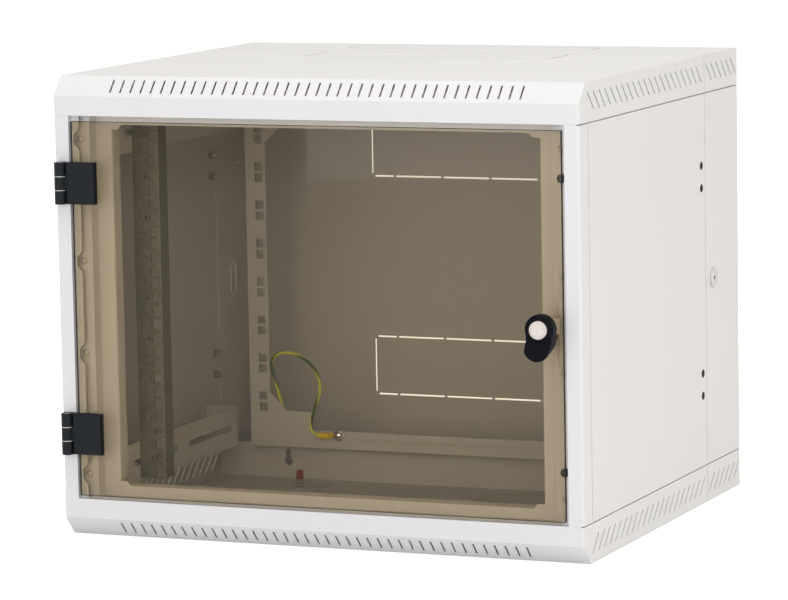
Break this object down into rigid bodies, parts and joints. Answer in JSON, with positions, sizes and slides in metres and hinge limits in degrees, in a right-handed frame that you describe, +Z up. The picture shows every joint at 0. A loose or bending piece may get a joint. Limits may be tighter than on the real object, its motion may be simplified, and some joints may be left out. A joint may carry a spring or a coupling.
{
  "type": "wall mount network cabinet",
  "caption": "Two-section wall cabinet for rack equipment: hinged main body with smoked glass door, vented canopies, sliding front rails and fixed rear rails.",
  "frame": {"origin": "centre of the wall face, in the middle of the four wall fixing holes", "axes": "+X to the right seen from the front, +Y into the wall, +Z up"},
  "size_m": [0.6096, 0.5535, 0.5],
  "materials": {
    "powder_coat": "light grey powder coat, satin, very fine orange peel",
    "galvanised_steel": "galvanised, faint spangle",
    "zinc_plated_steel": "bright zinc plate",
    "chromed_metal": "polished",
    "black_die_cast": "satin black enamel on die-cast zinc",
    "black_plastic": "satin moulded",
    "black_rubber": "matt",
    "red_plastic": "satin moulded",
    "green_yellow_sheath": "green and yellow insulation",
    "smoked_glass": "tempered, smoked bronze"
  },
  "bodies": {
    "wall_section": {"rear_back_panel": "powder_coat", "rear_side_left": "powder_coat", "rear_side_right": "powder_coat", "rear_bottom_canopy": "powder_coat", "rear_top_canopy": "powder_coat", "body_hinge_wall_leaves": "zinc_plated_steel", "body_hinge_pins": "zinc_plated_steel", "rear_lock_barrel": "chromed_metal", "rear_lock_nut": "zinc_plated_steel"},
    "rear_lock": {"rear_lock_cylinder": "chromed_metal", "rear_lock_cam": "zinc_plated_steel", "rear_lock_screw": "zinc_plated_steel"},
    "main_body": {"bottom_canopy": "powder_coat", "top_canopy": "powder_coat", "front_post_left": "powder_coat", "front_post_right": "powder_coat", "side_panel_left": "powder_coat", "side_panel_right": "powder_coat", "inner_front_frame": "powder_coat", "frame_bolts": "zinc_plated_steel", "frame_nuts": "zinc_plated_steel", "rear_cross_bar_bottom": "powder_coat", "rear_cross_bar_top": "powder_coat", "body_hinge_leaves": "zinc_plated_steel", "body_hinge_fixings": "zinc_plated_steel", "hole_plugs": "black_plastic", "rear_catch": "zinc_plated_steel", "door_hinge_bases": "black_die_cast", "door_hinge_pins": "zinc_plated_steel", "door_hinge_washers": "zinc_plated_steel", "door_bumpers": "black_rubber", "earth_stud": "zinc_plated_steel", "earth_stud_nuts": "zinc_plated_steel", "earth_stud_cap": "red_plastic", "earth_lug": "zinc_plated_steel", "earth_lug_screw": "zinc_plated_steel", "earth_lead": "green_yellow_sheath", "earth_far_lug": "zinc_plated_steel", "earth_far_stud": "zinc_plated_steel", "rear_rail_left": "powder_coat", "rear_rail_right": "powder_coat", "depth_bracket_bottom_left": "powder_coat", "depth_bracket_bottom_right": "powder_coat", "depth_bracket_top_left": "powder_coat", "depth_bracket_top_right": "powder_coat"},
    "left_rail": {"front_rail_left": "galvanised_steel", "front_rail_fixings_left": "zinc_plated_steel"},
    "right_rail": {"front_rail_right": "galvanised_steel", "front_rail_fixings_right": "zinc_plated_steel"},
    "door": {"glass_panel": "smoked_glass", "door_hinge_leaves": "black_die_cast", "hinge_clamp_plates": "black_die_cast", "hinge_clamp_screws": "zinc_plated_steel", "lock_housing": "black_die_cast", "lock_plate": "zinc_plated_steel", "lock_nut": "zinc_plated_steel"},
    "door_lock": {"door_knob": "black_die_cast", "door_cam": "zinc_plated_steel", "door_cam_screw": "zinc_plated_steel"},
    "door_key": {"key_cylinder": "chromed_metal"}
  },
  "joints": [
    {"name": "main_body_swing", "type": "hinge", "parent": "wall_section", "child": "main_body", "pos_m": [-0.3037, -0.115, 0], "axis": [0, 0, -1], "range_deg": [0, 90]},
    {"name": "door_swing", "type": "hinge", "parent": "main_body", "child": "door", "pos_m": [-0.2905, -0.5233, 0], "axis": [0, 0, -1], "range_deg": [0, 170]},
    {"name": "door_knob_turn", "type": "hinge", "parent": "door", "child": "door_lock", "pos_m": [0.264, -0.52, 0], "axis": [0, -1, 0], "range_deg": [0, 90]},
    {"name": "door_key_turn", "type": "hinge", "parent": "door_lock", "child": "door_key", "pos_m": [0.264, -0.54, 0], "axis": [0, -1, 0], "range_deg": [0, 90]},
    {"name": "rear_lock_turn", "type": "hinge", "parent": "wall_section", "child": "rear_lock", "pos_m": [0.29, -0.09, 0], "axis": [1, 0, 0], "range_deg": [0, 90]},
    {"name": "left_rail_slide", "type": "slide", "parent": "main_body", "child": "left_rail", "axis": [0, 1, 0], "range_m": [-0.02, 0.085]},
    {"name": "right_rail_slide", "type": "slide", "parent": "main_body", "child": "right_rail", "axis": [0, 1, 0], "range_m": [-0.02, 0.085]}
  ]
}
